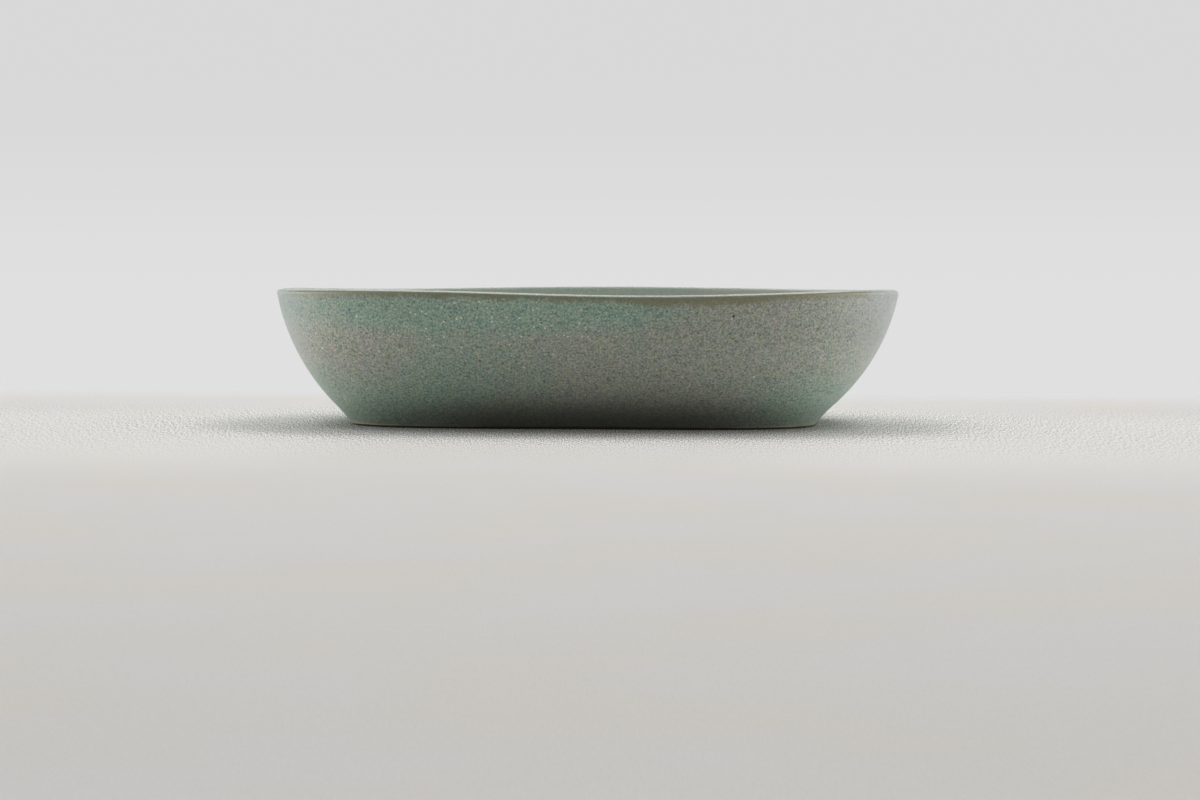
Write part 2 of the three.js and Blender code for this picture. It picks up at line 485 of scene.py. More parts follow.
    def grid(self, side, rows, place):
        """A flat grid bent into a band: its X runs round the plate and its Y along the band."""
        nodes, links = self.tree.nodes, self.tree.links
        grid = fill(nodes.new("GeometryNodeMeshGrid"), {
            "Size X": 1.0, "Size Y": 1.0,
            "Vertices X": STEPS_AROUND + 1, "Vertices Y": rows + 1,
        })
        store = fill(nodes.new("GeometryNodeStoreNamedAttribute"), {
            "Name": LIP_DROP, "Value": (self.top - place[2]) * side,
        })
        bend = fill(nodes.new("GeometryNodeSetPosition"), {"Position": vector(self.tree, *place)})
        links.new(grid.outputs["Mesh"], store.inputs["Geometry"])
        links.new(store.outputs[0], bend.inputs["Geometry"])
        return bend.outputs[0]

    def bands(self, stretches):
        """Bands of the surface, each along one stretch of the section: side, rows and points."""
        return [self.grid(side, rows, self.placed(section)) for side, rows, section in stretches]

    def disc(self, side, rows, section):
        """A flat disc from a ring of the section to the middle of the plate."""
        ring = self.placed(section)
        middle = (self.sizes.foot_shift, 0.0, section[1])
        return self.grid(side, rows, between(ring, middle, self.share))


def settings_of(group):
    """Keys and properties of a group, without the two that every group has."""
    for key, setting in group.bl_rna.properties.items():
        if key not in ("rna_type", "name"):
            yield key, setting


def size_inputs(tree, shape):
    """Gives a tree one named input for each size of the plate."""
    return {
        key: tree.interface.new_socket(
            name=size.name, in_out="INPUT", socket_type="NodeSocketFloat")
        for key, size in settings_of(shape)
    }


def surface_piece(context, name, draw, material):
    """Builds a closed piece of the plate's surface with a geometry tree, and makes it a plain mesh."""
    shape = context.scene.plate_shape
    tree = bpy.data.node_groups.new(name + " surface", "GeometryNodeTree")
    for way in ("INPUT", "OUTPUT"):
        tree.interface.new_socket(name="Geometry", in_out=way, socket_type="NodeSocketGeometry")
    sockets = size_inputs(tree, shape)
    entry = tree.nodes.new("NodeGroupInput")
    sizes = SimpleNamespace(**{
        key: Wire(tree, entry.outputs[socket.name]) for key, socket in sockets.items()
    })
    bands = draw(Plate(tree, sizes))
    close_surface(tree, bands, material)

    piece = bpy.data.objects.new(name, bpy.data.meshes.new(name))
    context.scene.collection.objects.link(piece)
    modifier = piece.modifiers.new("Surface", "NODES")
    modifier.node_group = tree
    for key, socket in sockets.items():
        modifier[socket.identifier] = getattr(shape, key)
    return plain_mesh(context, piece)


def close_surface(tree, bands, material):
    """Joins the bands into one closed surface and gives it its material."""
    nodes, links = tree.nodes, tree.links
    join = nodes.new("GeometryNodeJoinGeometry")
    for band in bands:
        links.new(band, join.inputs[0])
    weld = fill(nodes.new("GeometryNodeMergeByDistance"), {"Distance": WELD_DISTANCE})
    smooth = nodes.new("GeometryNodeSetShadeSmooth")
    realize = nodes.new("GeometryNodeRealizeInstances")
    finish = fill(nodes.new("GeometryNodeSetMaterial"), {"Material": material})
    leave = nodes.new("NodeGroupOutput")
    chain = (join, weld, smooth, realize, finish, leave)
    for here, there in zip(chain, chain[1:]):
        links.new(here.outputs[0], there.inputs[0])


def plain_mesh(context, piece):
    """Turns a piece's node modifier into a plain mesh whose faces point outwards."""
    context.view_layer.update()
    evaluated = piece.evaluated_get(context.evaluated_depsgraph_get())
    mesh = bpy.data.meshes.new_from_object(evaluated)
    piece.modifiers.clear()
    piece.data = mesh
    mesh.name = piece.name
    shell = bmesh.new()
    shell.from_mesh(mesh)
    bmesh.ops.recalc_face_normals(shell, faces=shell.faces)
    open_edges = [edge for edge in shell.edges if not edge.is_manifold]
    shell.to_mesh(mesh)
    shell.free()
    if open_edges:
        raise RuntimeError(f"{piece.name} has {len(open_edges)} open edges")
    mesh.set_sharp_from_angle(angle=SHARP_ANGLE)
    return piece


def seat(piece, node):
    """Lets a piece stand for its solid in the frame and ride with it."""
    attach(piece, BODY)
    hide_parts(node)


def outside_coat(plate):
    """The outside glaze: skirt and wall, its back against the clay, and its two edges."""
    depth = plate.sizes.glaze_thickness
    return plate.bands((
        *plate.skirt_bands(0.0, SKIRT_ROWS),
        *plate.outer_band(0.0, WALL_ROWS),
        (OUTSIDE, 1, plate.seam_face(OUTSIDE, depth)),
        *plate.outer_band(depth, HIDDEN_ROWS),
        *plate.skirt_bands(depth, SKIRT_ROWS),
        (OUTSIDE, 1, between(plate.edge(0.0), plate.edge(depth), plate.share)),
    ))


def lip_coat(plate):
    """The stretch of glaze over the lip, with its back and its two seams."""
    depth = plate.sizes.glaze_thickness
    return plate.bands((
        *plate.lip_bands(0.0, LIP_EDGE_ROWS, LIP_ROWS),
        *plate.lip_bands(depth, LIP_EDGE_ROWS, LIP_ROWS),
        (OUTSIDE, 1, plate.seam_face(OUTSIDE, depth)),
        (INSIDE, 1, plate.seam_face(INSIDE, depth)),
    ))


def inside_coat(plate):
    """The glaze poured into the plate: inside wall, soft turn and floor, and its back."""
    depth = plate.sizes.glaze_thickness
    face, back = (plate.well_points(level)[2] for level in (0.0, depth))
    walls = plate.bands((
        *plate.inner_bands(0.0, WALL_ROWS, WELL_ROWS),
        *plate.inner_bands(depth, HIDDEN_ROWS, WELL_ROWS),
        (INSIDE, 1, plate.seam_face(INSIDE, depth)),
    ))
    return walls + [plate.disc(INSIDE, FLOOR_ROWS, face), plate.disc(INSIDE, HIDDEN_ROWS, back)]


def recess_points(plate):
    """Rim and top of the recess under the plate."""
    sizes = plate.sizes
    edge = -(sizes.bare_lean + sizes.foot_bevel + sizes.foot_ring + sizes.recess_slope)
    return (edge, sizes.recess_depth), (edge, sizes.recess_depth + sizes.glaze_thickness)


def underside_coat(plate):
    """The glaze in the recess, inside the wiped foot ring."""
    rim, top = recess_points(plate)
    return [
        plate.disc(OUTSIDE, FLOOR_ROWS, rim),
        plate.disc(OUTSIDE, HIDDEN_ROWS, top),
        *plate.bands([(OUTSIDE, 1, between(rim, top, plate.share))]),
    ]


def clay_core(plate):
    """The fired clay: recess, ring, bevel and bare face in sight, and the core under the glaze."""
    sizes = plate.sizes
    depth = sizes.glaze_thickness
    rim, top = recess_points(plate)
    outer_land = -(sizes.bare_lean + sizes.foot_bevel)
    foot = (
        top, rim, (outer_land - sizes.foot_ring, 0.0), (outer_land, 0.0),
        (-sizes.bare_lean, sizes.foot_bevel), plate.edge(0.0), plate.edge(depth),
    )
    shell = plate.bands((
        *(
            (OUTSIDE, CORNER_ROWS, between(start, end, plate.share))
            for start, end in zip(foot, foot[1:])
        ),
        *plate.skirt_bands(depth, SKIRT_ROWS),
        *plate.outer_band(depth, HIDDEN_ROWS),
        *plate.lip_bands(depth, LIP_EDGE_ROWS, LIP_ROWS),
        *plate.inner_bands(depth, HIDDEN_ROWS, WELL_ROWS),
    ))
    floor = plate.disc(INSIDE, HIDDEN_ROWS, plate.well_points(depth)[2])
    return shell + [plate.disc(OUTSIDE, HIDDEN_ROWS, top), floor]


class Finish:
    """A material under way: its tree, the place on the piece, and its principled shader."""

    def __init__(self, name, look=None):
        self.look = look
        self.material = bpy.data.materials.new(name)
        self.material.use_nodes = True
        self.tree = self.material.node_tree
        self.shader = self.tree.nodes["Principled BSDF"]
        place = self.tree.nodes.new("ShaderNodeTexCoord")
        self.place = Wire(self.tree, place.outputs["Object"])
        self.x, self.y, self.z = split(self.tree, self.place.socket)

    def noise(self, size, detail=2.0, roughness=0.5, offset=0.0):
        """Soft noise whose swells are so many metres apart."""
        place = self.place
        if offset:
            place = vector(self.tree, self.x + offset, self.y, self.z)
        return noise(self.tree, place, 1 / size, detail, roughness)

    def swing(self, *noise):
        """The same noise, swinging about 0."""
        return self.noise(*noise) - 0.5

    def grains(self, size, offset=0.0):
        """Distance to the nearest grain's middle, and a number that differs from grain to grain."""
        place = vector(self.tree, self.x + offset, self.y, self.z)
        node = self.tree.nodes.new("ShaderNodeTexVoronoi")
        fill(node, {"Vector": place, "Scale": 1 / size})
        kind, _, _ = split(self.tree, node.outputs["Color"])
        return Wire(self.tree, node.outputs["Distance"]), kind

    def spots(self, size, offset, radius, kinds):
        """1 in a round spot on each grain of some kinds, with a radius in grain sizes."""
        distance, kind = self.grains(size, offset)
        return distance.smooth(*radius) * kind.smooth(*kinds)

    def blend(self, share, start, end):
        """A colour that runs from start to end with share."""
        first, second = (
            colour if isinstance(colour, Wire) else (*colour, 1.0) for colour in (start, end)
        )
        values = {0: share, 6: first, 7: second}
        return wire_from(self.tree, "ShaderNodeMix", values, 2, data_type="RGBA")

    def lay(self, share, colour, strength, tone):
        """Lays a tone over a colour, at a share of its strength."""
        return self.blend(share * strength, colour, tone)

    def two_tone(self, swing, colour, above, below):
        """Lays one tone where a swing is over 0, and another where it is under."""
        colour = self.lay(swing.math("MAXIMUM", 0.0), colour, *above)
        return self.lay((-swing).math("MAXIMUM", 0.0), colour, *below)

    def zone(self, heights, *places):
        """1 in a zone that fades in between heights and between places along X, in millimetres."""
        share = self.z.smooth(*(height * MM for height in heights))
        for start, end in places:
            share = share * self.x.smooth(start * MM, end * MM)
        return share

    def attribute(self, name):
        """A number stored on the piece's vertices."""
        return wire_from(self.tree, "ShaderNodeAttribute", {}, "Fac", attribute_name=name)

    def bump(self, height):
        """Surface relief of a height in metres."""
        return wire_from(self.tree, "ShaderNodeBump", {"Height": height, "Distance": 1.0})


# Zones of the wall in millimetres: heights, then places along X, between which each fades in.
# The thick ones start with how much thicker the glaze lies there.
THICK_ZONES = (
    (1.0, (31, 41), (50, 10)),
    (-0.5, (31, 41), (-66, -84)),
    (0.45, (24, 8), (30, 78)),
    (0.45, (24, 8), (-30, -78)),
    (0.32, (34, 16), (10, -60)),
    (0.35, (5, 13), (4, -12), (-70, -38)),
)
DARKER_ZONES = (((24, 34), (-5, 40)), ((35, 43), (-30, -62)))
FLECK_ZONE = ((16, 32), (-72, -52), (24, 0))

# Noises: size, unless the look gives it, then detail, roughness and offset along X
CLOUD = (3.0, 0.55)
MOTTLE = (6 * MM, 4.0, 0.7)
PATCHES = (3 * MM, 3.0, 0.5, 0.5)
TINT = (3.0, 0.8, 0.2)
FINE = (3.0, 0.8)
BREAK_PATCHES = (9 * MM, 3.0, 0.6, 0.3)
BREAK_STREAKS = (1.6 * MM, 3.0, 0.7, 0.4)
SAND = (0.5 * MM, 3.0, 0.7)
RIPPLE_SIZE = 2.6 * MM
DRIFT_SIZE = 9 * MM

# Swing of the thickness in clouds and mottle, and the range from thin to thick
CLOUD_SWING = 1.1
MOTTLE_SWING = 0.55
THICKNESS_RANGE = (-0.15, 0.85)

# Tones laid over the glaze, each with its strength
MAUVE = (3.0, paint(0xA89CA8))
OLIVE = (3.0, paint(0x8C9C7A))
CREAM = (3.4, paint(0xE4DCC6))
# Painted sheen towards both ends
END_SHEEN = (0.5, paint(0xB3BCC2))
FLECK = (0.8, paint(0xE9E6DA))
# Painted light just inside the lip
INNER_LIGHT = paint(0xDAE0D5)
# Painted highlight on the crest of the lip
CREST_HIGHLIGHT = paint(0xCFD2C8)
# Painted shade near the foot
FOOT_SHADE_TONE = paint(0x25271A)
PINHOLE = paint(0x1A1813)

# Strength of the look's own tones, and how much calmer patches are in thick glaze
BUFF_STRENGTH = 2.6
BLUE_STRENGTH = 3.4
DARK_STRENGTH = 3.4
DARKER_STRENGTH = 0.12
PATCH_CALM = 0.5

# Grains: spacing in grain sizes, edge of the single ones, and which are buff or iron
FINE_SPACING = 0.8
GRAIN_SPACING = 1.15
GRAIN_EDGE = (0.55, 0.2)
BUFF_KINDS = (0.62, 0.7)
BUFF_SHARE = 0.5
BUFF_LESS = 0.3
IRON_KINDS = (0.16, 0.08)
IRON_SHARE = 0.5

# White flecks, alone and gathered in their zone: spacing, offset, edge and kinds
LONE_FLECKS = (7 * MM, 0.1, (0.075, 0.045), (0.5, 0.55))
GATHERED_FLECKS = (2 * MM, 0.15, (0.21, 0.14), (0.4, 0.45))

# Painted sheen: the glaze turns pale and bluish towards both ends, and more so high up
SHEEN_ENDS = (82 * MM, 112 * MM)
SHEEN_RISE = (-10 * MM, 40 * MM)

# Painted light on the glaze just inside the lip: depths below the crest, and more of it at both ends
INNER_START = (0.0, -0.5 * MM)
INNER_END = (11 * MM, 3 * MM)
INNER_ENDS = (15 * MM, 60 * MM)
INNER_MORE = 0.2
INNER_SHARE = 0.6

# The brown break under the lip: depths below the crest, and where it pales at both ends
BREAK_START = (0.25 * MM, 0.7 * MM)
BREAK_END = (3.6 * MM, 0.6 * MM)
BREAK_PALES = (106 * MM, 94 * MM)
BREAK_RAGGED = 3 * MM
BREAK_STRENGTH = 1.6
BREAK_GRAIN = 1.3
BREAK_MOST = 0.85

# Where the break runs deeper down the wall, and by how much
DEEP_BREAK = (5 * MM, 32 * MM)
DEEP_BREAK_END = (82 * MM, 55 * MM)
DEEPER = 1.1 * MM

# The painted highlight on the crest of the lip: its half width, and where it fades at both ends
CREST_WIDTH = (0.6 * MM, 0.15 * MM)
CREST_ENDS = (102 * MM, 78 * MM)
CREST_MORE = 0.45
CREST_SHARE = 0.25

# Painted shade near the foot, which fades at both ends, and a lower painted shade all round
FOOT_SHADE = (17 * MM, 1 * MM)
FOOT_SHADE_ENDS = (90 * MM, 25 * MM)
FOOT_SHADE_SHIFT = -4 * MM
FOOT_EDGE = (12 * MM, 0.5 * MM)
EDGE_SHADE_SHARE = 0.5

# Pinholes in the front wall: along X, height above the table, radius
PINHOLES = (
    (54.2 * MM, 39.4 * MM, 0.5 * MM),
    (58.7 * MM, 41.1 * MM, 0.25 * MM),
    (61 * MM, 33.7 * MM, 0.25 * MM),
)
PINHOLE_SOFT = 0.5
PINHOLES_FRONT = (0.0, -10 * MM)

# The glaze's surface: swing of its roughness, and relief
ROUGHNESS_SWING = 0.22
CREST_SMOOTHER = 0.15
RIPPLE_HEIGHT = 0.05 * MM
FINE_HEIGHT = 0.02 * MM

# The clay's toasted parts, pale sand, dark specks and dry surface
TOASTED_RANGE = (0.35, 0.7)
TOASTED = paint(0x8A876C)
PALE_SAND_RANGE = (0.5, 0.8)
PALE_SAND = (0.5, paint(0xDCC8A4))
CLAY_SPECKS = (1.1 * MM, 0.0, (0.5, 0.2), (0.12, 0.06))
SPECK_STRENGTH = 0.8
CLAY_ROUGHNESS = 0.78
SAND_ROUGHNESS = 0.15
SAND_HEIGHT = 0.06 * MM

# Painted shade on the clay near the foot and in the bevel, and the clean face the plate rests on
CLAY_FOOT_SHADE = (0.88, 0.05)
DARK_BEVEL = (0.85 * MM, 0.65 * MM)
BEVEL_SHADE = (0.93, paint(0x1A1814))
FOOT_FACE = (0.02 * MM, 0.12 * MM)


def glaze_thickness(finish, bias):
    """How thick the glaze lies, from 0 to 1: zones that follow the dipping, clouds and mottle."""
    depth = (
        finish.swing(finish.look.cloud_size, *CLOUD) * CLOUD_SWING
        + finish.swing(*MOTTLE) * MOTTLE_SWING + bias
    )
    for share, heights, *places in THICK_ZONES:
        depth = depth + finish.zone(heights, *places) * share
    return depth.smooth(*THICKNESS_RANGE)


def speckle(finish, colour, thickness, fine):
    """Patches and fine grains of many tints, painted sheen at both ends, and single buff and iron grains.
    """
    look = finish.look
    patches = finish.swing(*PATCHES) * (1 - thickness * PATCH_CALM)
    tint = finish.swing(look.grain_size, *TINT)
    colour = finish.two_tone(patches, colour, MAUVE, OLIVE)
    colour = finish.two_tone(tint, colour, (BUFF_STRENGTH, look.buff), (BLUE_STRENGTH, look.blue))
    colour = finish.two_tone(fine - 0.5, colour, CREAM, (DARK_STRENGTH, look.dark))
    # Painted sheen towards both ends, high on the wall
    painted_sheen = abs(finish.x).smooth(*SHEEN_ENDS) * finish.z.smooth(*SHEEN_RISE)
    colour = finish.lay(painted_sheen, colour, *END_SHEEN)
    distance, kind = finish.grains(look.grain_size * GRAIN_SPACING)
    spot = distance.smooth(*GRAIN_EDGE)
    pale = kind.smooth(*BUFF_KINDS) * spot * (BUFF_SHARE - thickness * BUFF_LESS)
    colour = finish.blend(pale, colour, look.buff)
    return finish.lay(kind.smooth(*IRON_KINDS) * spot, colour, IRON_SHARE, look.dark)


def flecks(finish, colour):
    """White flecks: a few alone, and many gathered high up on the left."""
    colour = finish.lay(finish.spots(*LONE_FLECKS), colour, *FLECK)
    gathered = finish.spots(*GATHERED_FLECKS) * finish.zone(*FLECK_ZONE)
    return finish.lay(gathered, colour, *FLECK)


def upper_shade(finish, colour):
    """The wall is a little darker high up on the right, and under the lip on the left."""
    right, left = (finish.zone(*zone) for zone in DARKER_ZONES)
    return finish.lay(right + left, colour, DARKER_STRENGTH, finish.look.dark)


def lip_break(finish, colour, drop, fine):
    """The glaze breaks to brown just under the crest of the lip outside, with a ragged edge."""
    ragged = (finish.swing(*BREAK_PATCHES) + finish.swing(*BREAK_STREAKS)) * BREAK_RAGGED
    deep = finish.x.smooth(*DEEP_BREAK) * finish.x.smooth(*DEEP_BREAK_END) * DEEPER
    band = (drop + ragged - deep).smooth(*BREAK_END) * drop.smooth(*BREAK_START)
    band = band * abs(finish.x).smooth(*BREAK_PALES) * (BREAK_STRENGTH - fine * BREAK_GRAIN)
    return finish.blend(band.math("MINIMUM", BREAK_MOST), colour, finish.look.lip)


def painted_lip_light(finish, colour, drop, crest):
    """Painted light on the glaze just inside the lip, and a painted highlight along its crest."""
    side = abs(finish.x)
    # Painted light on the glaze just inside the lip
    inner = drop.smooth(*INNER_START) * (-drop).smooth(*INNER_END)
    inner = inner * (side.smooth(*INNER_ENDS) * INNER_MORE + INNER_SHARE)
    colour = finish.blend(inner, colour, INNER_LIGHT)
    # Painted highlight along the crest
    return finish.blend(crest * (side.smooth(*CREST_ENDS) * CREST_MORE + CREST_SHARE), colour, CREST_HIGHLIGHT)


def foot_shade(finish, colour, most, edge):
    """Painted shade darkens the clay and the glaze near the foot, most along the long sides."""
    ends = abs(finish.x + FOOT_SHADE_SHIFT).smooth(*FOOT_SHADE_ENDS)
    middle = finish.z.smooth(*FOOT_SHADE) * ends * most
    rim = finish.z.smooth(*FOOT_EDGE) * edge
    return finish.blend(1 - (1 - middle) * (1 - rim), colour, FOOT_SHADE_TONE)


def pinholes(finish, colour):
    """Small dark holes where gas broke through the glaze of the front wall."""
    front = finish.y.smooth(*PINHOLES_FRONT)
    for x, z, radius in PINHOLES:
        away = root((finish.x - x) ** 2 + (finish.z - z) ** 2)
        colour = finish.blend(away.smooth(radius, radius * PINHOLE_SOFT) * front, colour, PINHOLE)
    return colour


def glaze_finish(name, look, bias, iron):
    """Matt glaze, with a sheen of fine crystals: clouds, grains, a break, pinholes, painted light and
    shade.
    """
    finish = Finish(name, look)
    fine = finish.noise(look.grain_size * FINE_SPACING, *FINE)
    thickness = glaze_thickness(finish, bias)
    drop = finish.attribute(LIP_DROP)
    crest = abs(drop).smooth(*CREST_WIDTH)
    colour = finish.blend(thickness, look.thin, look.thick)
    colour = speckle(finish, colour, thickness, fine)
    colour = flecks(finish, colour)
    colour = upper_shade(finish, colour)
    colour = lip_break(finish, colour, drop, fine)
    colour = painted_lip_light(finish, colour, drop, crest)
    # iron sets how dark the painted shade near the foot is
    if iron:
        colour = foot_shade(finish, colour, iron, iron * EDGE_SHADE_SHARE)
        colour = pinholes(finish, colour)
    fill(finish.shader, {
        "Base Color": colour,
        "Roughness": (fine - 0.5) * ROUGHNESS_SWING + look.roughness - crest * CREST_SMOOTHER,
        "Sheen Weight": 0.12,
        "Normal": finish.bump(finish.noise(RIPPLE_SIZE) * RIPPLE_HEIGHT + fine * FINE_HEIGHT),
    })
    return finish.material


def clay_finish(name, look):
    """Bare fired clay: sandy and warm, toasted in places, with dark specks and painted shade near the
    foot and bevel.
    """
    finish = Finish(name, look)
    sand = finish.noise(*SAND)
    toasted = finish.noise(DRIFT_SIZE).smooth(*TOASTED_RANGE)
    colour = finish.blend(toasted, look.clay, TOASTED)
    colour = finish.lay(sand.smooth(*PALE_SAND_RANGE), colour, *PALE_SAND)
    colour = finish.lay(finish.spots(*CLAY_SPECKS), colour, SPECK_STRENGTH, look.dark)
    side = finish.z.smooth(*FOOT_FACE)
    # Painted shade near the foot, then painted shade in the bevel's undercut
    colour = finish.blend(side, colour, foot_shade(finish, colour, *CLAY_FOOT_SHADE))
    colour = finish.lay(finish.z.smooth(*DARK_BEVEL) * side, colour, *BEVEL_SHADE)
    fill(finish.shader, {
        "Base Color": colour,
        "Roughness": sand * SAND_ROUGHNESS + CLAY_ROUGHNESS,
        "Normal": finish.bump(sand * SAND_HEIGHT),
        "Specular IOR Level": 0.3,
    })
    return finish.material


class PLATE_OT_clay_body(bpy.types.Operator):
    """Build the fired clay body with its bare foot"""

    bl_idname = "plate.clay_body"
    bl_label = "Clay Body"

    def execute(self, context):
        look = context.scene.plate_glaze
        material = clay_finish("Bare clay", look)
        piece = surface_piece(context, "fired_clay", clay_core, material)
        seat(piece, "clay_body")
        return {"FINISHED"}


class PLATE_OT_glaze_coats(bpy.types.Operator):
    """Lay the coats of glaze on the clay: outside, lip, inside and underside"""

    bl_idname = "plate.glaze_coats"
    bl_label = "Glaze Coats"

    # Name, how it is drawn, how much thicker its glaze lies, and how dark its painted foot shade is
    coats = (
        ("outside", outside_coat, 0.0, 0.77),
        ("lip", lip_coat, 0.0, 0.0),
        ("inside", inside_coat, 0.0, 0.0),
        ("underside", underside_coat, -0.1, 0.3),
    )

    def execute(self, context):
        look = context.scene.plate_glaze
        for name, draw, bias, iron in self.coats:
            material = glaze_finish(f"{name.capitalize()} coat", look, bias, iron)
            node = f"{name}_glaze"
            seat(surface_piece(context, f"{name}_coat", draw, material), node)
        return {"FINISHED"}


class PLATE_OT_stage(bpy.types.Operator):
    """Set up the camera, the table, the backdrop and the light"""

    bl_idname = "plate.stage"
    bl_label = "Camera, Table and Light"

    def execute(self, context):
        settings = context.scene.plate_stage
        add_camera(context, settings)
        add_table(context, settings)
        add_room_light(context, settings)
        add_lights(context, settings)
        return {"FINISHED"}


# Where the middle of the plate and the horizon stand in the photograph, and its slight roll
MIDDLE_COLUMN = 588.8
HORIZON_ROW = 253.3
ROLL = 0.0016

# The table: its reach, the paper behind it, and its drop under the plate
TABLE_REACH = 6.0
PAPER_PLACE = 2.0
TABLE_DROP = 0.02 * MM

# The paper darkens a little up to this height
PAPER_FADE = (0.0, 0.25)
PAPER_TOP = paint(0xD8D8D8)
ROOM_TONE = paint(0xD9D9D9)

# Where the cloth turns into even paper: behind, far in front and at the sides
CLOTH_BACK = (0.245, 0.145)
CLOTH_FRONT = (-1.1, -0.7)
CLOTH_SIDES = (0.85, 0.45)

# Painted light that lightens the plate's shadow on the cloth, under the plate's front and most at its
# sides
SHADOW_LIFT = (-0.32, -0.1)
SHADOW_LIFT_END = (0.1, 0.0)
SHADOW_LIFT_SIDES = (0.04, 0.11)
SHADOW_LIFT_MORE = 0.75
SHADOW_LIFT_SHARE = 0.25
SHADOW_LIFT_TONE = paint(0xEAE8E3)

# The cloth's slow drift of colour
CLOTH_DRIFT = 70 * MM
DRIFT_RANGE = (0.35, 0.65)
COOL_CLOTH = paint(0xDDDCDA)

# The cloth's grain: size, stretch in depth, turn, detail and roughness
CLOTH_GRAIN = 0.42 * MM
CLOTH_GRAIN_STRETCH = 10.0
CLOTH_TURN = math.radians(4.85)
GRAIN_NOISE = (1.0, 0.7)
GRAIN_LIGHT = (1.0, paint(0xFFFFFF))
GRAIN_DARK = (1.0, paint(0x8E8B86))

# Where the grain is sharp, in depth about a middle, and where it is weaker round the plate
FOCUS_MIDDLE = -0.03
FOCUS = (0.2, 0.05)
AROUND = (0.2, 0.1)
AROUND_DEPTH = 1.7
AROUND_MORE = 6.8
FOCUS_GRAIN = 3.6
BLURRED_GRAIN = 0.15


def add_camera(context, settings):
    """The camera stands a little higher than the rim, and tips down to the photograph's frame."""
    data = bpy.data.cameras.new("Camera")
    data.lens = settings.lens
    data.sensor_width = SENSOR_WIDTH
    camera = bpy.data.objects.new("Camera", data)
    context.scene.collection.objects.link(camera)
    pixels = settings.lens / SENSOR_WIDTH * FRAME_WIDTH
    tip = math.atan((FRAME_HEIGHT / 2 - HORIZON_ROW) / pixels)
    swing = math.atan((FRAME_WIDTH / 2 - MIDDLE_COLUMN) / pixels)
    camera.matrix_world = (
        Matrix.Rotation(settings.turn, 4, "Z")
        @ Matrix.Translation((0, -settings.distance, settings.height))
        @ Matrix.Rotation(-swing, 4, "Z")
        @ Matrix.Rotation(math.pi / 2 - tip, 4, "X")
        @ Matrix.Rotation(ROLL, 4, "Z")
    )
    context.scene.camera = camera


def add_table(context, settings):
    """A wide level table, and the paper hung behind it."""
    side, low, back = TABLE_REACH, -TABLE_DROP, PAPER_PLACE
    table = [(-side, -side, low), (side, -side, low), (side, back, low), (-side, back, low)]
    paper = [(-side, back, low), (side, back, low), (side, back, side), (-side, back, side)]
    for name, corners, material in (
        ("Table", table, table_finish(settings)),
        ("Backdrop", paper, paper_finish(settings)),
    ):
        mesh = bpy.data.meshes.new(name)
        mesh.from_pydata(corners, [], [(0, 1, 2, 3)])
        mesh.materials.append(material)
        sheet = bpy.data.objects.new(name, mesh)
        context.scene.collection.objects.link(sheet)


def seen_directly(tree):
    """1 for rays from the camera and for reflections, 0 for the light itself."""
    rays = tree.nodes.new("ShaderNodeLightPath")
    return Wire(tree, rays.outputs["Is Camera Ray"]).math(
        "MAXIMUM", Wire(tree, rays.outputs["Is Glossy Ray"]))


def mix_surfaces(tree, share, first, second, output):
    """Sends a mix of two shaders to a tree's output."""
    mix = tree.nodes.new("ShaderNodeMixShader")
    plug(mix.inputs[0], share)
    tree.links.new(first.outputs[0], mix.inputs[1])
    tree.links.new(second.outputs[0], mix.inputs[2])
    tree.links.new(mix.outputs[0], tree.nodes[output].inputs["Surface"])


def show(finish, colour, share):
    """Shows an even colour in place of the finish for a share of the rays."""
    glow = fill(finish.tree.nodes.new("ShaderNodeEmission"), {"Color": colour})
    mix_surfaces(finish.tree, share, finish.shader, glow, "Material Output")
    return finish.material


def paper_finish(settings):
    """Even paper that darkens a little towards the top."""
    finish = Finish("Backdrop paper")
    fill(finish.shader, {"Base Color": (*settings.paper, 1.0), "Roughness": 0.9})
    colour = finish.blend(finish.z.smooth(*PAPER_FADE), settings.paper, PAPER_TOP)
    return show(finish, colour, seen_directly(finish.tree))


def cloth_grain(finish):
    """Fine grain of the cloth, swinging about 0, sharp in the depth where the plate stands."""
    across = finish.x * math.cos(CLOTH_TURN) + finish.y * math.sin(CLOTH_TURN)
    along = finish.y * math.cos(CLOTH_TURN) - finish.x * math.sin(CLOTH_TURN)
    flat = vector(finish.tree, across, along / CLOTH_GRAIN_STRETCH, 0.0)
    weave = noise(finish.tree, flat, 1 / CLOTH_GRAIN, *GRAIN_NOISE)
    focus = abs(finish.y - FOCUS_MIDDLE).smooth(*FOCUS)
    around = root(finish.x ** 2 + finish.y ** 2 * AROUND_DEPTH).smooth(*AROUND)
    return (weave - 0.5) * (focus * (around * AROUND_MORE + FOCUS_GRAIN) + BLURRED_GRAIN)


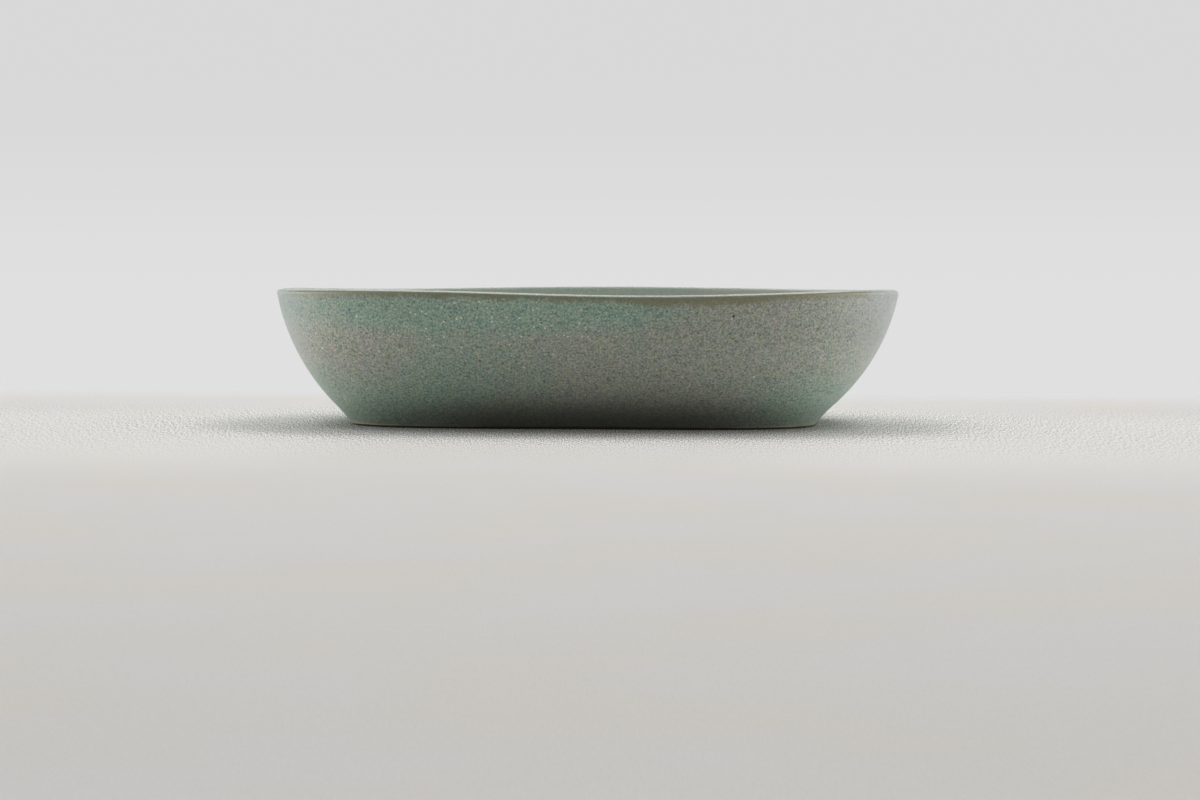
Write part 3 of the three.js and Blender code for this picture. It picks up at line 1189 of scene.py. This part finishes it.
def table_finish(settings):
    """Matt cloth with a fine grain near the plate, which turns into the backdrop's even paper."""
    finish = Finish("Table cloth")
    near = (
        finish.y.smooth(*CLOTH_BACK) * finish.y.smooth(*CLOTH_FRONT)
        * abs(finish.x).smooth(*CLOTH_SIDES)
    )
    # Painted light in the plate's shadow: round the plate's front, most beside it
    shadow_lift = finish.y.smooth(*SHADOW_LIFT) * finish.y.smooth(*SHADOW_LIFT_END)
    middle = abs(finish.x).smooth(*SHADOW_LIFT_SIDES)
    drift = finish.noise(CLOTH_DRIFT).smooth(*DRIFT_RANGE)
    cloth = finish.blend(drift, settings.cloth, COOL_CLOTH)
    cloth = finish.blend(shadow_lift * (middle * SHADOW_LIFT_MORE + SHADOW_LIFT_SHARE), cloth, SHADOW_LIFT_TONE)
    cloth = finish.two_tone(cloth_grain(finish), cloth, GRAIN_LIGHT, GRAIN_DARK)
    fill(finish.shader, {
        "Base Color": finish.blend(near, settings.paper, cloth),
        "Roughness": 0.9,
        "Specular IOR Level": 0.2,
    })
    return show(finish, (*settings.paper, 1.0), (1 - near) * seen_directly(finish.tree))


def add_room_light(context, settings):
    """Even light from all sides, with the backdrop's colour where it is seen or reflected."""
    world = bpy.data.worlds.new("Room")
    world.use_nodes = True
    tree = world.node_tree
    light = fill(tree.nodes["Background"], {
        "Color": (1.0, 1.0, 1.0, 1.0), "Strength": settings.sky,
    })
    seen = fill(tree.nodes.new("ShaderNodeBackground"), {"Color": (*ROOM_TONE, 1.0)})
    mix_surfaces(tree, seen_directly(tree), light, seen, "World Output")
    context.scene.world = world


# The lights: place and two sides. Softboxes and panels stand in pairs, at plus and minus X
SOFTBOX_PLACE = (1.1, 1.1, 2.8)
SOFTBOX_SIZE = (2.4, 1.0)
TOP_PLACE = (0.0, -0.45, 3.0)
TOP_SIZE = (3.0, 0.7)
PANEL_PLACE = (2.0, 0.0, 0.14)
PANEL_SIZE = (2.4, 0.24)


def add_lights(context, settings):
    """Two softboxes behind and above, a light straight over, and a low panel on each side."""
    add_area_light(context, "Top light", settings.top, TOP_PLACE, TOP_SIZE)
    for side in (-1, 1):
        for name, power, (x, y, z), size in (
            ("Softbox", settings.softbox, SOFTBOX_PLACE, SOFTBOX_SIZE),
            ("Side panel", settings.panel, PANEL_PLACE, PANEL_SIZE),
        ):
            add_area_light(context, name, power, (side * x, y, z), size)


def add_area_light(context, name, power, place, size):
    """A rectangular light that faces the middle of the plate."""
    data = bpy.data.lights.new(name, "AREA")
    data.shape = "RECTANGLE"
    data.size, data.size_y = size
    data.energy = power
    lamp = bpy.data.objects.new(name, data)
    context.scene.collection.objects.link(lamp)
    lamp.location = place
    lamp.rotation_euler = (-Vector(place)).to_track_quat("-Z", "Y").to_euler()


class PLATE_PT_build(bpy.types.Panel):
    """Lists the pieces of the plate and its stage, in the order they are built."""

    bl_label = "Oval Plate"
    bl_space_type = "VIEW_3D"
    bl_region_type = "UI"
    bl_category = "Plate"

    def draw(self, context):
        layout = self.layout
        for operator in OPERATORS:
            layout.operator(operator.bl_idname)
        scene = context.scene
        for group in (scene.plate_shape, scene.plate_glaze, scene.plate_stage):
            box = layout.box()
            for key, _ in settings_of(group):
                box.prop(group, key)


OPERATORS = (PLATE_OT_clay_body, PLATE_OT_glaze_coats, PLATE_OT_stage)
CLASSES = (PLATE_PG_shape, PLATE_PG_glaze, PLATE_PG_stage, *OPERATORS, PLATE_PT_build)


def register():
    """Registers the classes and hangs the sizes and colours on the scene."""
    for item in CLASSES:
        bpy.utils.register_class(item)
    bpy.types.Scene.plate_shape = PointerProperty(type=PLATE_PG_shape)
    bpy.types.Scene.plate_glaze = PointerProperty(type=PLATE_PG_glaze)
    bpy.types.Scene.plate_stage = PointerProperty(type=PLATE_PG_stage)


def unregister():
    """Takes the sizes and colours off the scene and the classes out."""
    del bpy.types.Scene.plate_stage
    del bpy.types.Scene.plate_glaze
    del bpy.types.Scene.plate_shape
    for item in reversed(CLASSES):
        bpy.utils.unregister_class(item)


def main():
    """Builds the plate piece by piece, then the stage."""
    register()
    bpy.context.scene.view_settings.view_transform = "Standard"
    bpy.ops.plate.clay_body()
    bpy.ops.plate.glaze_coats()
    bpy.ops.plate.stage()


if __name__ == "__main__":
    main()
